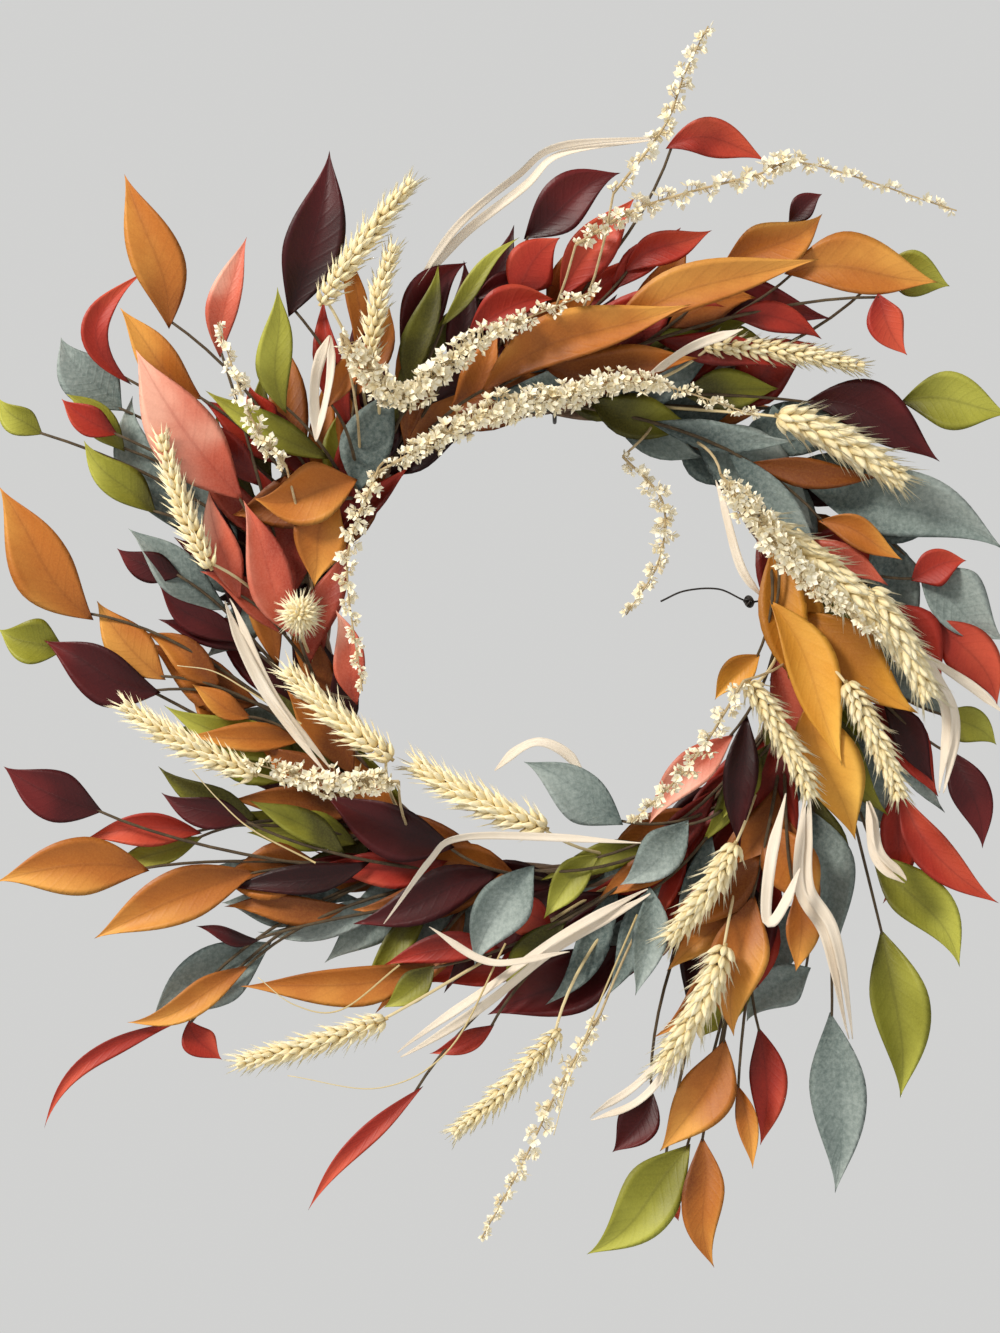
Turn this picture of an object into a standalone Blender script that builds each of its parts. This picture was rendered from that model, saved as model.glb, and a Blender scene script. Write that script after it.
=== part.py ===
"""Harvest door wreath: leaf sprays, wheat ears, floret sprigs and raffia on a vine ring.

Run it with: blender --background --python part.py
The wreath hangs in the XZ plane. Its front faces -Y, the door is on the +Y side and +Z is up.
The origin is the inside top of the hanging eye, where the door hook bears.
Layout positions are (across, up) in millimetres from the middle of the vine ring, and a root
is a clock angle on the ring in degrees, clockwise from the top as seen from the front.
"""

import math

import bmesh
import bpy
from mathutils import Vector
from mathutils.bvhtree import BVHTree

MM = 0.001

# Vine ring and its wires
RING_RADIUS = 137.0
VINE_RADIUS = 11.0
RING_STEPS = 36
VINE_SIDES = 8
TIE_WIRE_RADIUS = 0.8
TIE_CLOCKS = (100.0, 250.0)
WIRE_GAP = 1.0
EYE_RADIUS = 9.0
EYE_WIRE_RADIUS = 1.1
EYE_NECK = 7.0
LOOSE_WIRE_RADIUS = 0.9
LOOSE_WIRE_KNOT_RADIUS = 4.2
LOOSE_WIRE_CLOCK = 78.6
# The loose wire's knot and bends: inward from the vine's middle, clockwise, and forward
LOOSE_WIRE_ROUTE = ((25.8, 0, 14), (41.1, -10.2, 15), (59.9, -13, 17), (74.8, -9.9, 20))

# Foliage
LAYOUT_SCALE = 1.0
LEAF_THICKNESS = 1.6
LEAF_CUP = 1.8
LEAF_ARCH = 0.05
LEAF_STATIONS = (0.12, 0.34, 0.6, 0.84)
LEAF_BROADEST = 0.42
STEM_RADIUS = 1.3
STEM_SIDES = 4
STEM_STEPS = 4
STEM_BEND = 0.42
KNOT_RADIUS = 3.4
KNOT_SPREAD = 2.1
EAR_FULLNESS = 0.40
EAR_SIDES = 7
FLORET_RADIUS = 5.5
FLORET_NECK = 2.6
FLORET_PITCH = 14.0
FLORET_SIDES = 5
RAFFIA_THICKNESS = 0.9
RAFFIA_STEPS = 9

# How the pieces lie on each other
FLARE = 0.16
ROOT_STAND_OFF = 4.0
LAY_STEP = 1.0
LAY_GAP = 0.5

CENTRE_Z = -(2 * EYE_RADIUS - EYE_WIRE_RADIUS + EYE_NECK + VINE_RADIUS + RING_RADIUS)
FRONT_Y = -(VINE_RADIUS + STEM_RADIUS + ROOT_STAND_OFF)

# name: (red, green, blue), roughness, metallic
MATERIALS = {
    "rust_leaf": ((0.45, 0.13, 0.02), 0.55, 0.0),
    "gold_leaf": ((0.66, 0.33, 0.05), 0.55, 0.0),
    "burgundy_leaf": ((0.10, 0.010, 0.012), 0.50, 0.0),
    "red_leaf": ((0.44, 0.035, 0.02), 0.50, 0.0),
    "coral_leaf": ((0.60, 0.12, 0.08), 0.50, 0.0),
    "green_leaf": ((0.27, 0.28, 0.03), 0.50, 0.0),
    "sage_leaf": ((0.25, 0.33, 0.30), 0.80, 0.0),
    "wheat": ((0.83, 0.69, 0.40), 0.75, 0.0),
    "floret": ((0.86, 0.78, 0.62), 0.75, 0.0),
    "raffia": ((0.75, 0.63, 0.46), 0.70, 0.0),
    "vine": ((0.13, 0.07, 0.035), 0.85, 0.0),
    "florist_wire": ((0.03, 0.025, 0.02), 0.45, 0.6),
}

# Leaf sprays from the back to the front: name, material, root clock, and for each leaf its
# foot (across, up), its tip (across, up), its width, and how far it bows to its left.
SPRAYS = (
    ("sage_spray_upper_left", "sage_leaf", 285, (
        (-240, 127, -273, 167, 30, 3), (-210, 61, -235, 136, 28, 8), (-183, 17, -237, 62, 25, 2))),
    ("sage_spray_bottom_left", "sage_leaf", 188, (
        (-136, -157, -186, -146, 19, -3), (-86, -146, -166, -162, 17, 4),
        (-62, -135, -129, -180, 30, -6), (-158, -168, -224, -212, 34, -5))),
    ("sage_spray_right", "sage_leaf", 12, (
        (202, 41, 249, 0, 33, -3), (138, 88, 248, 50, 38, 4), (73, 118, 145, 61, 38, 8))),
    ("sage_spray_lower_right", "sage_leaf", 80, (
        (142, -94, 156, -176, 26, 3), (152, -206, 153, -304, 31, 4), (142, -182, 106, -212, 25, -5))),
    ("green_spray_top_right", "green_leaf", 8, (
        (191, 132, 249, 124, 32, 4), (178, 204, 217, 195, 25, 2))),
    ("green_spray_upper_left", "green_leaf", 282, (
        (-238, 104, -269, 135, 17, -3), (-221, 70, -260, 110, 21, 3), (-282, 113, -306, 133, 17, 2))),
    ("green_spray_left", "green_leaf", 214, (
        (-272, -5, -308, 6, 26, 2), (-136, -66, -218, -36, 22, 3), (-111, -114, -172, -107, 23, -3),
        (-196, -109, -250, -132, 15, -2))),
    ("green_spray_right", "green_leaf", 76, (
        (180, -160, 190, -253, 32, 3), (175, -118, 222, -180, 29, 5), (213, -41, 244, -58, 21, 3))),
    ("red_spray_upper_left", "red_leaf", 294, (
        (-233, 140, -225, 203, 15, 22), (-241, 113, -271, 132, 17, 2), (-155, 115, -169, 141, 15, 2))),
    ("red_spray_bottom_left", "red_leaf", 206, (
        (-207, -210, -280, -267, 10, -14), (-202, -209, -184, -231, 18, -3),
        (-196, -107, -260, -110, 19, -5))),
    ("red_spray_right", "red_leaf", 58, (
        (208, 11, 244, -36, 28, 6), (197, 33, 227, 44, 21, 3), (191, -83, 244, -145, 22, -9))),
    ("burgundy_spray_left", "burgundy_leaf", 244, (
        (-208, 36, -243, 51, 18, 2), (-174, -1, -219, 30, 17, 3), (-219, -29, -283, 0, 30, 3))),
    ("burgundy_spray_right", "burgundy_leaf", 72, ((216, -60, 235, -115, 22, 4),)),
    ("burgundy_spray_top_right", "burgundy_leaf", 357, (
        (59, 187, 153, 178, 26, 4), (128, 230, 146, 245, 14, 1), (138, 132, 213, 99, 30, 7))),
    ("rust_spray_upper_left", "rust_leaf", 290, (
        (-212, 170, -235, 253, 29, -4), (-194, 132, -238, 181, 22, 4), (-111, 160, -116, 218, 12, -4))),
    ("rust_spray_left", "rust_leaf", 236, (
        (-255, 11, -305, 84, 34, 4), (-216, -22, -254, 22, 25, 3), (-169, -43, -202, -24, 14, 2))),
    ("rust_spray_bottom_left", "rust_leaf", 192, (
        (-224, -127, -306, -132, 32, -6), (-166, -128, -254, -164, 30, -3),
        (-169, -179, -235, -209, 17, 5), (-64, -176, -174, -190, 22, 7))),
    ("rust_spray_top_right", "rust_leaf", 352, (
        (125, 201, 208, 195, 33, 4), (90, 204, 146, 234, 28, -3), (145, 66, 191, 44, 17, 3))),
    ("burgundy_spray_bottom_left", "burgundy_leaf", 178, (
        (-249, -94, -302, -69, 28, 3), (-169, -100, -218, -84, 18, 2), (-56, -115, -129, -85, 30, 3),
        (-163, -165, -198, -157, 9, 1))),
    ("burgundy_spray_bottom", "burgundy_leaf", 128, (
        (37, -170, -38, -208, 36, 4), (43, -154, -9, -168, 15, -2), (54, -251, 31, -283, 23, 3))),
    ("burgundy_spray_top", "burgundy_leaf", 314, (
        (-147, 177, -124, 267, 32, -4), (-18, 220, 35, 255, 28, 3), (-45, 187, -1, 195, 15, 5),
        (-86, 162, -49, 208, 25, 4))),
    ("red_spray_top", "red_leaf", 332, (
        (-23, 187, 2, 220, 28, 4), (2, 187, 43, 242, 25, 3), (-48, 170, -1, 187, 22, 4),
        (37, 201, 85, 224, 19, 3), (59, 267, 113, 260, 21, 8), (175, 189, 191, 155, 20, -3))),
    ("red_spray_bottom", "red_leaf", 152, (
        (-2, -160, -37, -146, 22, -3), (-34, -212, -70, -228, 12, 2), (-73, -245, -136, -312, 11, -5))),
    ("red_spray_lower_right", "red_leaf", 112, (
        (112, -214, 112, -278, 21, 4), (57, -302, 67, -319, 10, 1))),
    ("green_spray_bottom", "green_leaf", 102, (
        (73, -275, 16, -334, 33, 4), (114, -63, 92, -99, 18, -2), (24, -119, -7, -154, 19, -3),
        (-67, -179, -95, -202, 17, 2))),
    ("rust_spray_lower_right", "rust_leaf", 104, (
        (109, -140, 97, -217, 32, -5), (131, -138, 131, -182, 19, 3), (92, -218, 56, -279, 30, 4),
        (79, -270, 85, -340, 23, -3), (98, -242, 106, -287, 12, 2))),
    ("sage_spray_bottom", "sage_leaf", 126, (
        (-12, -124, -45, -179, 30, -4), (51, -135, 43, -195, 20, 4), (73, -99, 35, -135, 25, 4),
        (37, -102, -18, -67, 28, -3))),
    ("rust_spray_top", "rust_leaf", 322, (
        (24, 160, 142, 206, 25, 10), (-42, 135, 73, 182, 28, 8))),
    ("green_spray_top_left", "green_leaf", 304, (
        (-148, 124, -152, 192, 20, 3), (-64, 171, -20, 220, 10, 2))),
    ("coral_spray_left", "coral_leaf", 258, (
        (-172, 77, -229, 158, 38, 4), (-141, 0, -172, 77, 25, 2), (-174, 22, -191, 83, 19, 2),
        (-110, -36, -122, 17, 18, -2), (-184, 154, -169, 220, 18, 3))),
    ("coral_spray_inner_right", "coral_leaf", 66, ((98, -52, 51, -102, 21, -4),)),
    ("gold_spray_right", "gold_leaf", 52, (
        (117, 22, 156, -69, 28, 4), (140, -31, 164, -110, 36, -4), (112, -8, 87, -33, 17, -2))),
    ("rust_spray_inner_left", "rust_leaf", 306, (
        (-125, 127, -107, 165, 14, -2), (-109, 88, -165, 77, 33, 4), (-119, 77, -133, 29, 30, -5))),
)

# Wheat picks, laid over the sprays: name, root clock, and for each ear its foot, its tip, its
# width over the awns and its bow.
WHEAT_PICKS = (
    ("wheat_pick_top_left", 308, ((-129, 181, -75, 251, 19, 2), (-102, 148, -87, 217, 17, 3))),
    ("wheat_pick_left", 262, ((-188, 38, -216, 115, 19, 3), (-140, 2, -141, 26, 24, 0))),
    ("wheat_pick_lower_left", 214, ((-163, -74, -238, -33, 21, 3), (-89, -66, -150, -14, 23, 2))),
    ("wheat_pick_bottom", 150, (
        (-4, -104, -81, -66, 26, 3), (-92, -206, -177, -230, 20, 2), (2, -212, -60, -270, 17, 3))),
    ("wheat_pick_lower_right", 112, ((98, -110, 59, -165, 25, 3), (92, -165, 54, -236, 28, 3))),
    ("wheat_pick_inner_right", 78, ((103, -22, 139, -88, 23, 3), (156, -22, 186, -88, 22, 2))),
    ("wheat_pick_right", 42, ((106, 66, 191, -11, 33, 4), (167, 28, 200, -33, 30, 2))),
    ("wheat_pick_top_right", 6, ((79, 162, 172, 148, 18, 3), (120, 124, 191, 85, 33, 4))),
)

# Floret sprigs, the outermost layer: name, root clock, and the stem's points in order. The
# blossoms sit along the stem from its second point on.
FLORET_SPRIGS = (
    ("floret_sprig_top", 340, ((10, 214), (46, 234), (106, 250), (134, 256), (214, 230))),
    ("floret_sprig_tip", 346, ((30, 240), (57, 275), (68, 303), (80, 327))),
    ("floret_sprig_inner_left", 318, ((-97, 94), (-114, 44), (-106, -28))),
    ("floret_sprig_upper_left", 300, ((-117, 165), (-86, 132), (-42, 162), (24, 190))),
    ("floret_sprig_inner_top", 306, ((-92, 94), (-42, 121), (2, 132), (46, 140), (109, 121))),
    ("floret_sprig_left", 274, ((-147, 94), (-166, 121), (-183, 171))),
    ("floret_sprig_hanging", 22, ((37, 102), (59, 77), (57, 44), (39, 14))),
    ("floret_sprig_right", 32, ((87, 88), (123, 44), (172, 0))),
    ("floret_sprig_inner_right", 88, ((101, -22), (73, -66), (40, -99))),
    ("floret_sprig_lower_left", 212, ((-86, -77), (-125, -77), (-169, -66))),
    ("floret_sprig_bottom", 140, ((24, -204), (2, -242), (-20, -286), (-41, -323))),
)

# Raffia strands, tucked between the layers: name, width, and the strand's points in order.
RAFFIA_STRANDS = (
    ("raffia_strand_top", 10, ((-81, 187), (-53, 223), (-20, 250), (2, 267), (57, 273))),
    ("raffia_strand_bottom", 12, ((51, -138), (2, -165), (-40, -196), (-86, -226))),
    ("raffia_strand_lower_right", 10, ((136, -83), (134, -132), (149, -160), (158, -216))),
)


def clear_scene():
    for obj in list(bpy.data.objects):
        bpy.data.objects.remove(obj)


def make_material(name):
    colour, roughness, metallic = MATERIALS[name]
    material = bpy.data.materials.new(name)
    material.use_nodes = True
    shader = material.node_tree.nodes["Principled BSDF"]
    shader.inputs["Base Color"].default_value = (*colour, 1.0)
    shader.inputs["Roughness"].default_value = roughness
    shader.inputs["Metallic"].default_value = metallic
    material.diffuse_color = (*colour, 1.0)
    return material


def flare(across, up):
    """How far the foliage leans off the door at a place: it dishes forward outside the ring."""
    return -FLARE * max(0.0, math.hypot(across, up) - RING_RADIUS)


def place(across, up, forward=0.0):
    """A point of the wreath in millimetres, with forward counted from the stems' first layer."""
    across, up = across * LAYOUT_SCALE, up * LAYOUT_SCALE
    return Vector((across, FRONT_Y + flare(across, up) - forward, up + CENTRE_Z))


def on_ring(clock):
    """The place on the ring's circle at a clock angle, and the direction clockwise from it."""
    angle = math.radians(clock)
    spot = Vector((math.sin(angle), math.cos(angle))) * RING_RADIUS / LAYOUT_SCALE
    return spot, Vector((math.cos(angle), -math.sin(angle)))


def bent(start, bend, end, t):
    """A point of the quadratic curve from start to end that bends towards bend."""
    return start * (1 - t) ** 2 + bend * 2 * t * (1 - t) + end * t * t


def midline(item):
    """The curve of a leaf or an ear in the layout: its foot, bend and tip."""
    foot, tip = Vector(item[0:2]), Vector(item[2:4])
    along = (tip - foot).normalized()
    left = Vector((-along.y, along.x))
    return foot, (foot + tip) / 2 + left * 2 * item[5], tip


def smooth_path(points, steps):
    """Evenly counted points of a Catmull-Rom curve through the given layout points."""
    ends = [points[0] * 2 - points[1], *points, points[-1] * 2 - points[-2]]
    path = []
    for i in range(steps + 1):
        place_on = min(i / steps * (len(points) - 1), len(points) - 1 - 1e-6)
        k, t = int(place_on), place_on - int(place_on)
        a, b, c, d = ends[k : k + 4]
        path.append(
            (b * 2 + (c - a) * t + (a * 2 - b * 5 + c * 4 - d) * t * t
             + (b * 3 - a - c * 3 + d) * t ** 3) / 2
        )
    return path


def skin(rows, closed=False):
    """A closed mesh over rows of points, ending in a cap or in a single point at each end."""
    points, faces, starts = [], [], []
    for row in rows:
        starts.append(len(points))
        points += row
    pairs = list(zip(range(len(rows) - 1), range(1, len(rows))))
    if closed:
        pairs.append((len(rows) - 1, 0))
    for i, j in pairs:
        n, m = len(rows[i]), len(rows[j])
        for k in range(max(n, m)):
            a, b = starts[i] + k % n, starts[i] + (k + 1) % n
            c, d = starts[j] + (k + 1) % m, starts[j] + k % m
            corners = [a, b, c, d]
            if n == 1:
                corners = [a, c, d]
            if m == 1:
                corners = [a, b, c]
            faces.append(corners)
    if not closed and len(rows[0]) > 1:
        faces.append([starts[0] + k for k in reversed(range(len(rows[0])))])
    if not closed and len(rows[-1]) > 1:
        faces.append([starts[-1] + k for k in range(len(rows[-1]))])
    return points, faces


def tube(path, radii, sides, closed=False):
    """A round tube along a path of points, with a radius at each."""
    rows, count = [], len(path)
    for i, at in enumerate(path):
        before = path[i - 1] if closed or i else at
        after = path[(i + 1) % count] if closed or i < count - 1 else at
        along = (after - before).normalized()
        forward = Vector((0, 1, 0)) if abs(along.y) < 0.9 else Vector((1, 0, 0))
        side = along.cross(forward).normalized()
        up = side.cross(along)
        turns = [2 * math.pi * k / sides for k in range(sides)]
        rows.append([at + (side * math.cos(a) + up * math.sin(a)) * radii[i] for a in turns])
    return skin(rows, closed)


def ball(at, radius):
    """A small faceted ball."""
    rows = [[at + Vector((0, 0, -radius))]]
    for level in (-0.5, 0.5):
        wide = radius * math.sqrt(1 - level * level)
        turns = [2 * math.pi * k / 6 for k in range(6)]
        rows.append([
            at + Vector((wide * math.cos(a), wide * math.sin(a), level * radius)) for a in turns
        ])
    rows.append([at + Vector((0, 0, radius))])
    return skin(rows)


def leaf(item):
    """A thin lanceolate leaf, cupped towards the front and arched along its length."""
    foot, bend, tip = midline(item)
    long = (tip - foot).length
    rows = [[place(*foot)]]
    for t in LEAF_STATIONS:
        at, ahead = bent(foot, bend, tip, t), bent(foot, bend, tip, t + 0.02)
        along = (ahead - at).normalized()
        swell = t / LEAF_BROADEST if t < LEAF_BROADEST else (1 - t) / (1 - LEAF_BROADEST)
        half = item[4] / 2 * math.sin(math.pi / 2 * swell ** 0.8)
        left = Vector((-along.y, along.x)) * half
        arch = long * LEAF_ARCH * math.sin(math.pi * t)
        cup = LEAF_CUP * half * 2 / item[4]
        rows.append([
            place(*(at + left), arch + cup),
            place(*at, arch + LEAF_THICKNESS / 2),
            place(*(at - left), arch + cup),
            place(*at, arch - LEAF_THICKNESS / 2),
        ])
    rows.append([place(*tip)])
    return skin(rows)


def ear(item):
    """The outer shape of a wheat ear: a blunt spindle over its grains and awns."""
    foot, bend, tip = midline(item)
    stations = (0.0, 0.06, 0.25, 0.5, 0.75, 0.94, 1.0)
    path = [place(*bent(foot, bend, tip, t)) for t in stations]
    fullest = item[4] * EAR_FULLNESS
    radii = [fullest * (0.16 + 0.84 * math.sin(math.pi * t ** 0.8) ** 0.6) for t in stations[1:-1]]
    return tube(path, [STEM_RADIUS, *radii, STEM_RADIUS], EAR_SIDES)


def petiole(clock, index, count, item):
    """The stem of one leaf or ear, from its own place in the root knot into the item's foot."""
    start, clockwise = on_ring(clock)
    outward = Vector((-clockwise.y, clockwise.x))
    foot, bend, tip = midline(item)
    end = bent(foot, bend, tip, 0.1)
    onward = max(0.0, (end - start).normalized().dot(clockwise))
    turn = (start + end) / 2 + (clockwise - (end - start).normalized() / 2) * (
        (end - start).length * STEM_BEND * onward
    )
    around = 2 * math.pi * (index + 0.5) / count
    path = []
    for k in range(STEM_STEPS + 1):
        t = k / STEM_STEPS
        spread = KNOT_SPREAD * (1 - t) if count > 1 else 0.0
        at = bent(start, turn, end, t) + outward * spread * math.cos(around)
        path.append(place(*at, spread * math.sin(around)))
    return tube(path, [STEM_RADIUS] * len(path), STEM_SIDES)


def knot(clock):
    spot, _ = on_ring(clock)
    return ball(place(*spot), KNOT_RADIUS)


def mesh_object(name, points, faces, material):
    mesh = bpy.data.meshes.new(name)
    mesh.from_pydata([p * MM for p in points], [], faces)
    shell = bmesh.new()
    shell.from_mesh(mesh)
    bmesh.ops.recalc_face_normals(shell, faces=shell.faces[:])
    shell.to_mesh(mesh)
    shell.free()
    obj = bpy.data.objects.new(name, mesh)
    bpy.context.scene.collection.objects.link(obj)
    obj.data.materials.append(material)
    return obj


def joined(name, pieces, material):
    """One body from overlapping pieces, by Boolean union."""
    base = mesh_object(name, *pieces[0], material)
    helpers = [mesh_object(f"{name}_tool", *piece, material) for piece in pieces[1:]]
    for helper in helpers:
        union = base.modifiers.new("union", "BOOLEAN")
        union.operation = "UNION"
        union.solver = "MANIFOLD"
        union.object = helper
    graph = bpy.context.evaluated_depsgraph_get()
    mesh = bpy.data.meshes.new_from_object(base.evaluated_get(graph))
    base.modifiers.clear()
    base.data = mesh
    for helper in helpers:
        bpy.data.objects.remove(helper)
    return base


def vine_ring(material):
    """The twisted vine ring that everything is wired to."""
    path = []
    for k in range(RING_STEPS):
        angle = 2 * math.pi * k / RING_STEPS
        path.append(Vector((math.sin(angle), 0, math.cos(angle))) * RING_RADIUS
                    + Vector((0, 0, CENTRE_Z)))
    return mesh_object("vine_ring", *tube(path, [VINE_RADIUS] * RING_STEPS, VINE_SIDES, True), material)


def wrap_path(clock, radius, steps=12):
    """A circle round the vine at a clock angle."""
    angle = math.radians(clock)
    outward = Vector((math.sin(angle), 0, math.cos(angle)))
    middle = outward * RING_RADIUS + Vector((0, 0, CENTRE_Z))
    turns = [2 * math.pi * k / steps for k in range(steps)]
    return [middle + outward * radius * math.cos(a) + Vector((0, radius * math.sin(a), 0)) for a in turns]


def wire_tie(index, clock, material):
    radius = VINE_RADIUS + WIRE_GAP + TIE_WIRE_RADIUS
    path = wrap_path(clock, radius)
    return mesh_object(f"wire_tie_{index}", *tube(path, [TIE_WIRE_RADIUS] * len(path), 4, True), material)


def hanging_eye(material):
    """The twisted wire eye at the top: a wrap round the vine, a neck and an eye for the hook."""
    wrap = wrap_path(0, VINE_RADIUS + WIRE_GAP + EYE_WIRE_RADIUS)
    middle = Vector((0, 0, EYE_WIRE_RADIUS - EYE_RADIUS))
    turns = [2 * math.pi * k / 14 for k in range(14)]
    eye = [middle + Vector((math.sin(a), 0, math.cos(a))) * EYE_RADIUS for a in turns]
    neck = [eye[7], wrap[0]]
    pieces = [
        tube(eye, [EYE_WIRE_RADIUS] * len(eye), 5, True),
        tube(wrap, [EYE_WIRE_RADIUS] * len(wrap), 5, True),
        tube(neck, [EYE_WIRE_RADIUS * 1.5] * 2, 7),
    ]
    return joined("hanging_eye", pieces, material)


def loose_wire(material):
    """The loose wire end on the inner right: it leaves the vine, passes a dark knot and ends free."""
    spot, clockwise = on_ring(LOOSE_WIRE_CLOCK)
    outward = spot.normalized()
    start = (VINE_RADIUS + WIRE_GAP + LOOSE_WIRE_RADIUS, 0, 0)
    path = []
    for inward, along, forward in (start, *LOOSE_WIRE_ROUTE):
        at = outward * (RING_RADIUS - inward) + clockwise * along
        path.append(Vector((at.x, -forward, at.y + CENTRE_Z)))
    pieces = [ball(path[1], LOOSE_WIRE_KNOT_RADIUS), tube(path, [LOOSE_WIRE_RADIUS] * len(path), 5)]
    return joined("loose_wire_end", pieces, material)


def spray(name, clock, items, shape, material):
    """A pick of leaves or ears: a root knot, a stem for each item, and the items."""
    pieces = [knot(clock)]
    for index, item in enumerate(items):
        pieces.append(petiole(clock, index, len(items), item))
        pieces.append(shape(item))
    return joined(name, pieces, material)


def floret_sprig(name, clock, points, material):
    """A sprig: a bare stem from the ring, then a knobbly sleeve over its blossoms."""
    spot, clockwise = on_ring(clock)
    first = Vector(points[0])
    turn = spot + clockwise * (first - spot).length * 0.4
    bare = [bent(spot, turn, first, k / 3) for k in range(3)]
    route = [Vector(p) for p in points]
    long = sum((b - a).length for a, b in zip(route, route[1:]))
    steps = 2 * max(3, round(long / FLORET_PITCH / 2))
    sleeve = smooth_path(route, steps)
    radii = [FLORET_NECK if k % 2 == 0 else FLORET_RADIUS for k in range(len(sleeve))]
    radii[-1] = STEM_RADIUS
    path = [place(*p) for p in bare + sleeve]
    return mesh_object(name, *tube(path, [STEM_RADIUS] * 3 + radii, FLORET_SIDES), material)


def raffia_strand(name, width, points, material):
    """A flat ribbon along its points."""
    path = smooth_path([Vector(p) for p in points], RAFFIA_STEPS)
    rows = []
    for i, at in enumerate(path):
        along = (path[min(i + 1, RAFFIA_STEPS)] - path[max(i - 1, 0)]).normalized()
        taper = 0.35 + 0.65 * math.sin(math.pi * i / RAFFIA_STEPS) ** 0.5
        left = Vector((-along.y, along.x)) * width / 2 * taper
        rows.append([
            place(*(at + left), RAFFIA_THICKNESS / 2), place(*(at - left), RAFFIA_THICKNESS / 2),
            place(*(at - left), -RAFFIA_THICKNESS / 2), place(*(at + left), -RAFFIA_THICKNESS / 2),
        ])
    return mesh_object(name, *skin(rows), material)


def triangles_of(obj):
    obj.data.calc_loop_triangles()
    return [tuple(t.vertices) for t in obj.data.loop_triangles]


class Pile:
    """The pieces laid so far, as one set of triangles that the next piece is laid on."""

    def __init__(self):
        self.points = []
        self.faces = []
        self.tree = None

    def add(self, obj):
        first = len(self.points)
        self.points += [v.co.copy() for v in obj.data.vertices]
        self.faces += [tuple(first + k for k in face) for face in triangles_of(obj)]
        self.tree = BVHTree.FromPolygons(self.points, self.faces)

    def meets(self, points, faces, lift):
        moved = [p - Vector((0, lift * MM, 0)) for p in points]
        return bool(self.tree.overlap(BVHTree.FromPolygons(moved, faces)))

    def lay(self, obj):
        """Brings the piece back from in front of the pile until it would meet it, and adds it."""
        points = [v.co.copy() for v in obj.data.vertices]
        faces = triangles_of(obj)
        in_front = max(p.y for p in points) - min(p.y for p in self.points)
        steps = max(0, math.ceil(in_front / (LAY_STEP * MM)))
        while steps > 0 and not self.meets(points, faces, steps * LAY_STEP):
            steps -= 1
        lift = (steps + 1) * LAY_STEP + LAY_GAP if steps else 0.0
        for vertex in obj.data.vertices:
            vertex.co.y -= lift * MM
        self.add(obj)


def build():
    clear_scene()
    materials = {name: make_material(name) for name in MATERIALS}
    pile = Pile()
    pile.add(vine_ring(materials["vine"]))
    for index, clock in enumerate(TIE_CLOCKS, 1):
        pile.add(wire_tie(index, clock, materials["florist_wire"]))
    pile.add(hanging_eye(materials["florist_wire"]))
    pile.add(loose_wire(materials["florist_wire"]))
    for name, material, clock, items in SPRAYS:
        pile.lay(spray(name, clock, items, leaf, materials[material]))
    for name, width, points in RAFFIA_STRANDS:
        pile.lay(raffia_strand(name, width, points, materials["raffia"]))
    for name, clock, items in WHEAT_PICKS:
        pile.lay(spray(name, clock, items, ear, materials["wheat"]))
    for name, clock, points in FLORET_SPRIGS:
        pile.lay(floret_sprig(name, clock, points, materials["floret"]))


build()
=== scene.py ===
"""The looks of the harvest door wreath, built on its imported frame.

Layout positions are (across, up) in millimetres from the middle of the vine ring, as in the
part's source. Each detailed piece stands for one CAD node and is laid at that node's depth.
"""

import math
import random

import bpy
from mathutils import Matrix, Vector
from mathutils.bvhtree import BVHTree


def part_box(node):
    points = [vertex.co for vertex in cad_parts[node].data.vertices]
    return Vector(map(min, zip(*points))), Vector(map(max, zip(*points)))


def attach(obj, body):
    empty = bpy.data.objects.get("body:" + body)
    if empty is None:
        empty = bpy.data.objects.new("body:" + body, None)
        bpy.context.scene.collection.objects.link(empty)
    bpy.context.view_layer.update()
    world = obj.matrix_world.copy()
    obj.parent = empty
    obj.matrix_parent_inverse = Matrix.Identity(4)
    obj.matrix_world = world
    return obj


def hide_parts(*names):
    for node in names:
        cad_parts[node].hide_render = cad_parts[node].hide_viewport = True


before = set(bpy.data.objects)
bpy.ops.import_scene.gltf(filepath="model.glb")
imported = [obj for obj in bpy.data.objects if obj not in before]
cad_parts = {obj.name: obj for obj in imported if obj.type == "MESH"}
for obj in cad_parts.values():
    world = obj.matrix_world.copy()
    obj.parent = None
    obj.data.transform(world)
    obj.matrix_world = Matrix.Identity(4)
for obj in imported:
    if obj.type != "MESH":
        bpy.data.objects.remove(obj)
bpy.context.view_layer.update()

MM = 0.001
GOLDEN = math.pi * (3 - math.sqrt(5))

# The part's own sizes
RING_RADIUS = 137.0
VINE_RADIUS = 11.0
WIRE_GAP = 1.0
EYE_RADIUS = 9.0
EYE_WIRE = 1.1
EYE_NECK = 7.0
TIE_CLOCKS = (100.0, 250.0)
LOOSE_WIRE_CLOCK = 78.6
# The loose wire's knot and bends: inward from the vine's middle, clockwise, and forward
LOOSE_WIRE_ROUTE = ((25.8, 0, 14), (41.1, -10.2, 15), (59.9, -13, 17), (74.8, -9.9, 20))
LEAF_BROADEST = 0.42
LEAF_ARCH = 0.05
CAD_STEM_RADIUS = 1.3
STEM_BEND = 0.42
KNOT_SPREAD = 2.1
KNOT_RADIUS = 3.4
ROOT_STAND_OFF = 4.0
EAR_FULLNESS = 0.40
FLORET_RADIUS = 5.5
FLARE = 0.16
CENTRE_Z = -(2 * EYE_RADIUS - EYE_WIRE + EYE_NECK + VINE_RADIUS + RING_RADIUS)
FRONT_Y = -(VINE_RADIUS + CAD_STEM_RADIUS + ROOT_STAND_OFF)

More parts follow.
